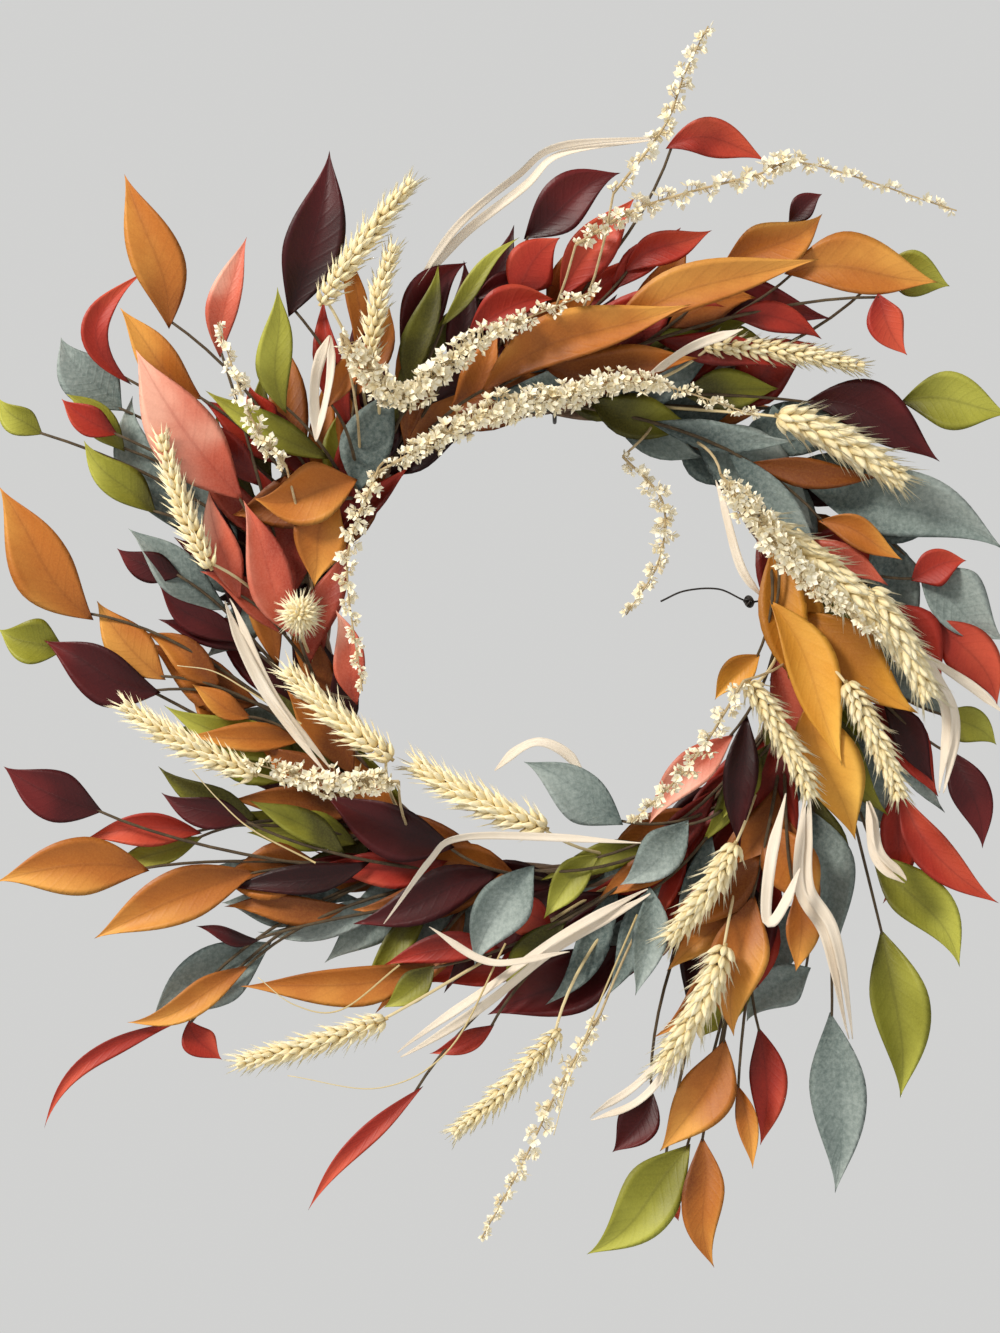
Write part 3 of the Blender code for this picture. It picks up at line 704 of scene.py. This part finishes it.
def add_ear(shape, item, layer):
    """A wheat ear: rows of grains round a stalk, each leaning out, with bristles past them."""
    foot, bend, tip = midline(item)
    wide = item[4]
    path = [place(*bent(foot, bend, tip, k / EAR_STEPS), layer) for k in range(EAR_STEPS + 1)]
    shape.tube(path[:-1], [1.1] * EAR_STEPS, 6)
    rows = max(4, round(length_of(path) / EAR_PITCH))
    for row in range(rows):
        t = 0.02 + 0.94 * row / rows
        at = t * EAR_STEPS
        k = int(at)
        centre = path[k].lerp(path[min(k + 1, EAR_STEPS)], at - k)
        along, side, up = frame_at(path, k)
        swell = math.sin(math.pi * min(1.0, 0.18 + 0.76 * t)) ** 0.45
        for n in range(EAR_ROUND):
            a = 2 * math.pi * (n + (row % 2) / 2) / EAR_ROUND + dice.uniform(-0.16, 0.16)
            out = side * math.cos(a) + up * math.sin(a)
            lean = math.radians(dice.uniform(34, 50) - 16 * t)
            way = (along * math.cos(lean) + out * math.sin(lean)).normalized()
            size = (wide * 0.42 + 2.0) * swell * dice.uniform(0.9, 1.1)
            tone = dice.uniform(0.2, 1.0)
            start = centre + out * 0.9
            add_grain(shape, start, way, size, wide * 0.155 * swell + 0.8, tone)
            for _ in range(EAR_AWNS):
                awn = (way + out * dice.uniform(-0.1, 0.3) + along * dice.uniform(0.0, 0.5)).normalized()
                reach = wide * 0.32 * dice.uniform(0.6, 1.3)
                add_awn(shape, start + way * (size * dice.uniform(0.7, 0.95)), awn, reach, tone)


def add_end_on_ear(shape, item, layer):
    """An ear that points at the viewer: grains and bristles that spread from its middle."""
    centre = place(*bent(*midline(item), 0.5), layer)
    reach = item[4] / 2
    for n in range(END_ON_GRAINS):
        polar = math.acos(1 - 1.2 * (n + 0.5) / END_ON_GRAINS)
        a = GOLDEN * n
        way = Vector((math.sin(polar) * math.cos(a), -math.cos(polar), math.sin(polar) * math.sin(a)))
        tone = dice.uniform(0.4, 1.0)
        size = reach * dice.uniform(0.75, 1.0)
        add_grain(shape, centre + way, way, size, reach * 0.26, tone)
        for _ in range(EAR_AWNS):
            jitter = Vector([dice.uniform(-0.3, 0.3) for _ in range(3)])
            add_awn(shape, centre + way * (size * 0.9), (way + jitter).normalized(), reach * 0.5, tone)


def wheat_pick(name, clock, items):
    shape = Shape()
    stems = [petiole(clock, index, len(items), item) for index, item in enumerate(items)]
    spots = [(place(*stem[0]), KNOT_RADIUS) for stem in stems]
    for item in items:
        for t in (0.2, 0.35, 0.5, 0.65, 0.8):
            spots.append((place(*bent(*midline(item), t)), EAR_FULLNESS * item[4]))
    lift = find_lift(name, spots)
    for flat, item in zip(stems, items):
        add_stem(shape, flat, stem_layers(flat, lift, 1.0), STEM_RADIUS)
        foot, _, tip = midline(item)
        if (tip - foot).length < SHORT_EAR:
            add_end_on_ear(shape, item, lift)
        else:
            add_ear(shape, item, lift)
    stand_for(shape.object(f"{name}_ears", [wheat, straw]), name)


def fine_straw(name, layer, points):
    """A hair-thin dry straw that sticks out of the foliage."""
    path = [place(*at, layer) for at in smooth_path(points, STRAW_STEPS)]
    shape = Shape()
    shape.tube(path, [0.6 - 0.35 * k / STRAW_STEPS for k in range(len(path))], 6)
    add_detail(shape.object(name, [straw]))


# Blossom sprigs


def add_petal(shape, foot, way, up, long, wide, tone):
    side = way.cross(up).normalized()
    middle = foot + way * (long * 0.6)
    ring = [
        middle + side * wide / 2 + up * 0.35, middle + up * 0.15,
        middle - side * wide / 2 + up * 0.35, middle - up * 0.35,
    ]
    marks = [[(0, 0.0, tone)], [(0.5, 0.6, tone)] * 4, [(0, 1.0, tone)]]
    shape.skin([[foot], ring, [foot + way * long + up * 0.6]], marks)


def add_blossom(shape, at, out, size):
    """A tiny blossom: three to five cupped petals."""
    tone = dice.uniform(0.0, 1.0)
    side = out.orthogonal().normalized()
    up = out.cross(side)
    count = dice.choice((3, 4, 4, 5))
    start = dice.uniform(0, math.pi)
    for n in range(count):
        a = start + 2 * math.pi * n / count
        spread = side * math.cos(a) + up * math.sin(a)
        way = (spread + out * dice.uniform(0.2, 0.9)).normalized()
        add_petal(shape, at, way, out, size * dice.uniform(0.8, 1.15), size * 0.72, tone)


def floret_sprig(name, clock, points):
    """A bare stem from the ring, then blossoms on short stalks all round it, sparser at its tip."""
    shape = Shape()
    spot, clockwise = on_ring(clock)
    route = [Vector(p) for p in points]
    turn = spot + clockwise * (route[0] - spot).length * 0.4
    bare = [bent(spot, turn, route[0], k / 8) for k in range(9)]
    steps = max(12, round(length_of(route) / BLOSSOM_PITCH))
    spine = smooth_path(route, steps)
    spots = [(place(*at), FLORET_RADIUS) for at in spine] + [(place(*spot), CAD_STEM_RADIUS)]
    lift = find_lift(name, spots)
    sleeve = [place(*at, lift) for at in spine]
    add_stem(shape, bare, stem_layers(bare, lift, 1.0), 0.8)
    shape.tube(sleeve, [0.85 - 0.45 * k / steps for k in range(steps + 1)], 6, STEM_SLOT)
    reach, crowded = (8.5, 3) if name in LUSH_SPRIGS else (5.5, 1)
    for k in range(steps):
        along, side, up = frame_at(sleeve, k)
        t = k / steps
        full = min(1.0, 0.5 + 3 * t, 0.30 + 1.5 * (1 - t))
        for n in range(crowded if full > 0.6 else 1):
            a = GOLDEN * (3 * k + n) + dice.uniform(-0.4, 0.4)
            out = (side * math.cos(a) + up * math.sin(a) + along * dice.uniform(0.2, 0.7)).normalized()
            at = sleeve[k] + out * dice.uniform(1.6, reach) * full
            shape.tube([sleeve[k], at], [0.35, 0.26], 3, STEM_SLOT)
            add_blossom(shape, at, out, dice.uniform(*BLOSSOM_SIZE) * (0.6 + 0.4 * full))
    stand_for(shape.object(f"{name}_blossoms", [floret, twig], smooth=False), name)


# Raffia


def add_strip(shape, path, offset, half_width, layer):
    """One dry fibre strip beside a path: it wanders, crimps and turns, and ends in a point."""
    wave = dice.uniform(0, 6)
    rows, marks, steps = [], [], len(path) - 1
    for i, at in enumerate(path):
        t = i / steps
        left = left_of((path[min(i + 1, steps)] - path[max(i - 1, 0)]).normalized())
        gather = 0.30 + 0.70 * math.sin(math.pi * t) ** 0.6
        half = half_width * min(1.0, 0.12 + 5 * t, 0.10 + 4 * (1 - t))
        turn = 0.7 * math.sin(wave + 4 * t)
        centre = at + left * (offset * gather + 0.9 * math.sin(wave + 6 * t))
        top, under = [], []
        for j in range(5):
            u = j / 2 - 1
            forward = layer + u * half * math.sin(turn) + 0.25 * half * u * u + 0.8 * math.sin(wave + 9 * t)
            spot = centre + left * (u * half * math.cos(turn))
            top.append((place(*spot, forward + RAFFIA_HALF_THICK), (u, t, wave)))
            under.append((place(*spot, forward - RAFFIA_HALF_THICK), (u, t, wave)))
        ring = top + under[::-1]
        rows.append([p for p, _ in ring])
        marks.append([m for _, m in ring])
    shape.skin(rows, marks)


def add_raffia(shape, points, width, layer):
    """A strand: several fibre strips side by side along the strand's points."""
    path = smooth_path(points, RAFFIA_STEPS)
    strips = max(1, round(width / RAFFIA_STRIP))
    for n in range(strips):
        offset = width * ((n + 0.5) / strips - 0.5)
        half_width = dice.uniform(0.42, 0.68) * RAFFIA_STRIP
        add_strip(shape, path, offset, half_width, layer + dice.uniform(-1.2, 1.2))


def raffia_strand(name, width, points):
    shape = Shape()
    lift = find_lift(name, [(place(*at), 0.5) for at in smooth_path(points, RAFFIA_STEPS // 2)])
    add_raffia(shape, points, width, lift)
    stand_for(shape.object(f"{name}_fibre", [raffia]), name)


def fine_raffia(name, width, layer, points):
    shape = Shape()
    add_raffia(shape, points, width, layer)
    add_detail(shape.object(name, [raffia]))


# Vine and wires


def ring_frame(angle):
    outward = Vector((math.sin(angle), 0, math.cos(angle)))
    return outward, outward * RING_RADIUS + Vector((0, 0, CENTRE_Z))


def vine_ring():
    """Thin vine strands of several thicknesses, twisted unevenly into the ring."""
    shape = Shape()
    for s in range(VINE_STRANDS):
        path, radii = [], []
        phase = 2 * math.pi * s / VINE_STRANDS
        thick = 2.7 + 1.2 * ((s * 3) % VINE_STRANDS) / VINE_STRANDS
        for angle in turns_of(VINE_STEPS):
            turn = phase + VINE_TWISTS * angle + 0.35 * math.sin(3 * angle + 2 * phase)
            outward, middle = ring_frame(angle)
            reach = VINE_RADIUS - thick - 0.8 + 0.7 * math.sin(5 * angle + 3 * phase)
            offset = outward * reach * math.cos(turn) + Vector((0, reach * math.sin(turn), 0))
            path.append(middle + offset)
            radii.append(thick + 0.3 * math.sin(17 * angle + 2 * phase))
        shape.tube(path, radii, 9, tone=s / VINE_STRANDS, closed=True)
    stand_for(shape.object("vine_ring_twist", [vine]), "vine_ring")


def circle_round_vine(clock, radius, steps=40):
    outward, middle = ring_frame(math.radians(clock))
    turns = turns_of(steps)
    return [middle + outward * radius * math.cos(a) + Vector((0, radius * math.sin(a), 0)) for a in turns]


def wire_ties():
    for index, clock in enumerate(TIE_CLOCKS, 1):
        shape = Shape()
        for turn in (-0.35, 0.0, 0.35):
            path = circle_round_vine(clock + turn, VINE_RADIUS + 1.6)
            shape.tube(path, [0.5] * len(path), 8, closed=True)
        made = shape.object(f"wire_tie_{index}_turns", [wire])
        stand_for(made, f"wire_tie_{index}")


def hanging_eye():
    """The twisted wire eye for the hook, its neck and its wrap round the vine."""
    shape = Shape()
    middle = Vector((0, 0, EYE_WIRE - EYE_RADIUS))
    eye = [middle + Vector((math.sin(a), 0, math.cos(a))) * EYE_RADIUS for a in turns_of(48)]
    wrap = circle_round_vine(0, VINE_RADIUS + WIRE_GAP + EYE_WIRE)
    for loop in (eye, wrap):
        shape.tube(loop, [EYE_WIRE] * len(loop), 10, closed=True)
    top, low = eye[len(eye) // 2], wrap[0]
    for phase in (0, math.pi):
        neck = []
        for k in range(17):
            a = phase + 4 * math.pi * k / 16
            neck.append(top.lerp(low, k / 16) + Vector((math.cos(a), math.sin(a), 0)) * 0.8)
        shape.tube(neck, [0.8] * len(neck), 8)
    stand_for(shape.object("hanging_eye_wire", [wire]), "hanging_eye")


def loose_wire():
    """The loose wire end at the inner right: off the vine, through a dark knot and out."""
    clockwise = on_ring(LOOSE_WIRE_CLOCK)[1]
    points = []
    for inward, along, forward in ((VINE_RADIUS - 1, 0, 0), *LOOSE_WIRE_ROUTE):
        at = left_of(clockwise) * (RING_RADIUS - inward) + clockwise * along
        points.append(Vector((at.x, -forward, at.y + CENTRE_Z)))
    shape = Shape()
    shape.tube(smooth_path(points, 48), [0.55] * 49, 8)
    for n in range(5):
        turn = Matrix.Rotation(n * 1.1, 3, "Y") @ Matrix.Rotation(n * 0.7, 3, "X")
        size = 1.9 + 0.3 * n
        loop = [points[1] + turn @ Vector((math.cos(a), 0, 0.75 * math.sin(a))) * size for a in turns_of(24)]
        shape.tube(loop, [0.6] * len(loop), 7, closed=True)
    stand_for(shape.object("loose_wire_end_wire", [wire]), "loose_wire_end")


# Materials


class Nodes:
    """Short calls for a material's node tree."""

    def __init__(self, name):
        self.material = bpy.data.materials.new(name)
        self.material.use_nodes = True
        self.tree = self.material.node_tree
        self.shader = self.tree.nodes["Principled BSDF"]

    def add(self, kind, settings=(), **inputs):
        made = self.tree.nodes.new(kind)
        for key, value in dict(settings).items():
            setattr(made, key, value)
        for key, value in inputs.items():
            self.put(made, key.replace("_", " "), value)
        return made

    def put(self, made, key, value):
        socket = made.inputs[int(key[1:])] if key[0] == "n" and key[1:].isdigit() else made.inputs[key]
        if isinstance(value, bpy.types.NodeSocket):
            self.tree.links.new(value, socket)
        else:
            socket.default_value = value

    def math(self, operation, a, b=0.0):
        return self.add("ShaderNodeMath", {"operation": operation}, n0=a, n1=b).outputs[0]

    def times(self, a, b):
        return self.math("MULTIPLY", a, b)

    def weigh(self, a, a_share, b, b_share):
        return self.math("ADD", self.times(a, a_share), self.times(b, b_share))

    def raised(self, base, value, share):
        return self.math("ADD", base, self.times(value, share))

    def swung(self, base, noise, share):
        """The base, raised or lowered by how far a noise is from its middle."""
        return self.raised(base, self.math("SUBTRACT", noise, 0.5), share)

    def ramp(self, fac, stops, interpolation="LINEAR"):
        made = self.add("ShaderNodeValToRGB", Fac=fac)
        ramp = made.color_ramp
        ramp.interpolation = interpolation
        while len(ramp.elements) < len(stops):
            ramp.elements.new(0.5)
        for element, (position, colour) in zip(ramp.elements, stops):
            element.position = position
            element.color = (*colour, 1.0)
        return made.outputs["Color"]

    def mix(self, fac, a, b):
        made = self.add("ShaderNodeMix", {"data_type": "RGBA"})
        self.put(made, "n0", fac)
        self.put(made, "n6", a)
        self.put(made, "n7", b)
        return made.outputs[2]

    def noise(self, vector, scale, detail=4.0, roughness=0.55):
        made = self.add("ShaderNodeTexNoise", Vector=vector, Scale=scale, Detail=detail, Roughness=roughness)
        return made.outputs["Fac"]

    def finish(self, colour, roughness, height, strength, distance=0.0006):
        self.put(self.shader, "Base Color", colour)
        self.put(self.shader, "Roughness", roughness)
        bump = self.add("ShaderNodeBump", Strength=strength, Distance=distance, Height=height)
        self.put(self.shader, "Normal", bump.outputs["Normal"])
        return self.material


def grain_of(n):
    """(across, along, tone) outputs of the grain attribute, and object coordinates."""
    grain = n.add("ShaderNodeAttribute", {"attribute_name": "grain"})
    split = n.add("ShaderNodeSeparateXYZ", Vector=grain.outputs["Vector"])
    place_at = n.add("ShaderNodeTexCoord").outputs["Object"]
    return split.outputs["X"], split.outputs["Y"], split.outputs["Z"], place_at


def leaf_material(name):
    """Leaf sheet: tones from shade to light along and between leaves, soft patches of painted highlight and
    painted shade, one half painted lighter than the other, painted shade along the fold, a dark foot and
    midrib, and faint side veins.
    """
    shade, body, light, rough = LEAF_TONES[name]
    felty = name == "sage_leaf"
    n = Nodes(name)
    across, along, tone, at = grain_of(n)
    away = n.math("ABSOLUTE", across)
    blotch = n.noise(at, 46.0, 3.0)
    # Broad lighter and darker patches over each leaf: painted highlight and painted shade of a satin sheet
    patch = n.noise(at, 21.0, 1.0)
    fine = n.noise(at, 420.0 if felty else 900.0, 5.0, 0.7)
    drift = n.weigh(along, 0.52, tone, 0.40)
    drift = n.swung(drift, blotch, 0.35)
    drift = n.swung(drift, patch, 1.15)
    # Painted light: one half of each leaf is lighter than the other
    drift = n.raised(drift, across, 0.17)
    colour = n.ramp(drift, ((0.0, shade), (0.42, body), (0.90, light)), "EASE")
    foot = n.math("POWER", n.math("SUBTRACT", 1.0, along), 3.0)
    # Painted shade: the leaf darkens towards its midrib, as if the fold were in shadow
    painted_fold_shade = n.math("POWER", n.math("SUBTRACT", 1.0, away), 5.0)
    rib = n.math("LESS_THAN", away, 0.045)
    slant = n.math("SUBTRACT", n.times(along, 34.0), n.times(away, 6.0))
    vein = n.math("POWER", n.math("ABSOLUTE", n.math("SINE", slant)), 14.0)
    # Each mark darkens towards the shade tone: the foot, midrib and side veins as the leaf's own colour, the
    # fold as painted shade
    for mark, share in ((foot, 0.55), (painted_fold_shade, 0.22), (rib, 0.15), (vein, 0.05)):
        colour = n.mix(n.times(mark, share), colour, (*shade, 1.0))
    speck = n.ramp(fine, ((0.38, (0.0, 0.0, 0.0)), (0.66, (1.0, 1.0, 1.0))))
    colour = n.mix(0.34 if felty else 0.10, colour, n.mix(speck, (*shade, 1.0), (*light, 1.0)))
    groove = n.math("SUBTRACT", 1.0, n.times(rib, 0.9))
    veined = n.math("SUBTRACT", groove, n.times(vein, 0.3))
    height = n.raised(veined, fine, 0.5)
    n.put(n.shader, "Specular IOR Level", 0.28)
    return n.finish(colour, n.swung(rough, blotch, 0.3), height, 0.55 if felty else 0.35)


def straw_material(name):
    """Dry straw: paler towards the tips of the grains, darker at the stalk."""
    shade, body, light = STRAW_TONES[name]
    n = Nodes(name)
    across, along, tone, at = grain_of(n)
    fine = n.noise(at, 700.0, 4.0)
    level = n.swung(n.weigh(along, 0.6, tone, 0.35), fine, 0.4)
    colour = n.ramp(level, ((0.0, shade), (0.38, body), (0.95, light)))
    ridge = n.math("SINE", n.times(across, 30.0))
    return n.finish(colour, n.raised(0.6, fine, 0.25), n.raised(fine, ridge, 0.4), 0.3)


def floret_material():
    n = Nodes("floret")
    _, along, tone, at = grain_of(n)
    fine = n.noise(at, 800.0, 3.0)
    # Petals darker tan towards their foot in the blossom's middle: painted shade inside the cup; the random
    # tone and the fine noise are the petals' own
    level = n.swung(n.weigh(along, 0.55, tone, 0.35), fine, 0.5)
    stops = ((0.0, (0.62, 0.45, 0.20)), (0.30, (0.88, 0.78, 0.53)), (0.80, (0.96, 0.91, 0.76)))
    return n.finish(n.ramp(level, stops), n.raised(0.55, fine, 0.3), fine, 0.25)


def raffia_material():
    """Dry fibre: long streaks along the strand, with thin dark splits."""
    n = Nodes("raffia")
    across, along, _, at = grain_of(n)
    lie = n.add("ShaderNodeCombineXYZ", X=n.times(across, 7.0), Y=n.times(along, 1.2))
    streak = n.noise(lie.outputs[0], 3.0, 6.0, 0.7)
    patch = n.noise(at, 38.0, 3.0)
    stops = ((0.26, (0.48, 0.34, 0.21)), (0.44, (0.80, 0.67, 0.51)), (0.68, (0.91, 0.82, 0.69)))
    colour = n.ramp(n.weigh(streak, 0.75, patch, 0.35), stops)
    return n.finish(colour, n.raised(0.5, patch, 0.35), streak, 0.6)


def bark_material(name):
    shade, body, light, scale = BARK_TONES[name]
    n = Nodes(name)
    across, along, tone, at = grain_of(n)
    lie = n.add(
        "ShaderNodeCombineXYZ",
        X=n.times(across, 9.0),
        Y=n.times(along, 90.0),
        Z=n.times(tone, 20.0),
    )
    fibre = n.noise(lie.outputs[0], 1.4, 6.0, 0.7)
    patch = n.noise(at, scale, 5.0)
    colour = n.ramp(n.weigh(fibre, 0.6, patch, 0.5), ((0.32, shade), (0.52, body), (0.78, light)))
    return n.finish(colour, n.raised(0.6, patch, 0.35), n.math("ADD", fibre, patch), 0.7, 0.0008)


def wire_material():
    """Dark wrapped florist wire, worn to metal here and there."""
    n = Nodes("florist_wire")
    at = grain_of(n)[3]
    worn = n.noise(at, 260.0, 5.0, 0.7)
    stops = ((0.35, (0.016, 0.013, 0.011)), (0.6, (0.045, 0.036, 0.030)), (0.75, (0.16, 0.14, 0.12)))
    n.put(n.shader, "Metallic", 0.35)
    return n.finish(n.ramp(worn, stops), n.raised(0.32, worn, 0.4), worn, 0.4)


# Stage


def softbox(name, at, size, power, colour):
    """A round lamp aimed at the wreath's middle."""
    data = bpy.data.lights.new(name, "AREA")
    data.shape = "DISK"
    data.size = size
    data.energy = power
    data.color = colour
    lamp = in_scene(name, data)
    lamp.location = at
    way = Vector((0.0, 0.0, CENTRE_Z * MM)) - Vector(at)
    lamp.rotation_euler = way.to_track_quat("-Z", "Y").to_euler()


def floor():
    """A pale round floor well below the wreath."""
    turns = turns_of(FLOOR_SIDES)
    rim = [(FLOOR_RADIUS * math.cos(a), FLOOR_RADIUS * math.sin(a), FLOOR_HEIGHT) for a in turns]
    mesh = bpy.data.meshes.new("floor")
    mesh.from_pydata(rim, [], [list(range(FLOOR_SIDES))])
    n = Nodes("pale_floor")
    n.put(n.shader, "Base Color", (0.74, 0.75, 0.76, 1.0))
    n.put(n.shader, "Roughness", 0.8)
    mesh.materials.append(n.material)
    in_scene("floor", mesh)


def studio():
    """A pale surround, a key light from the upper left and a weaker one behind."""
    scene = bpy.context.scene
    scene.view_settings.view_transform = "Standard"
    world = bpy.data.worlds.new("pale_studio")
    scene.world = world
    world.use_nodes = True
    backing = world.node_tree.nodes["Background"]
    backing.inputs["Color"].default_value = (0.80, 0.80, 0.79, 1.0)
    backing.inputs["Strength"].default_value = 0.80
    softbox("key", (-1.6, -1.5, 1.2), 0.7, 62.0, (1.0, 0.96, 0.90))
    softbox("back_fill", (1.2, 2.0, 0.9), 1.2, 12.0, (0.96, 0.98, 1.0))
    floor()


def camera():
    """Straight on, with the ring a little right of and above the middle."""
    data = bpy.data.cameras.new("camera")
    data.sensor_width = 36.0
    data.lens = data.sensor_width * VIEW_DISTANCE / VIEW_HEIGHT
    made = in_scene("camera", data)
    across, depth, up = VIEW_MIDDLE
    made.location = (across, depth - VIEW_DISTANCE, CENTRE_Z * MM + up)
    made.rotation_euler = (math.radians(90), 0, 0)
    bpy.context.scene.camera = made


crowd = Crowd()
leaves = {name: leaf_material(name) for name in LEAF_TONES}
wheat, straw = map(straw_material, STRAW_TONES)
floret = floret_material()
raffia = raffia_material()
vine, twig, stem_bark = map(bark_material, BARK_TONES)
wire = wire_material()

vine_ring()
wire_ties()
hanging_eye()
loose_wire()
sprays = [Spray(*spray, OTHER_LEAVES[k % len(OTHER_LEAVES)]) for k, spray in enumerate(SPRAYS)]
for spray in sprays:
    spray.fill()
for index, leaf_slot in enumerate(OTHER_LEAVES):
    under_leaves(leaf_slot, 5 * index)
for make, rows in (
    (raffia_strand, RAFFIA_STRANDS), (fine_raffia, FINE_RAFFIA), (fine_straw, FINE_STRAWS),
    (wheat_pick, WHEAT_PICKS), (floret_sprig, FLORET_SPRIGS),
):
    for row in rows:
        make(*row)
studio()
camera()
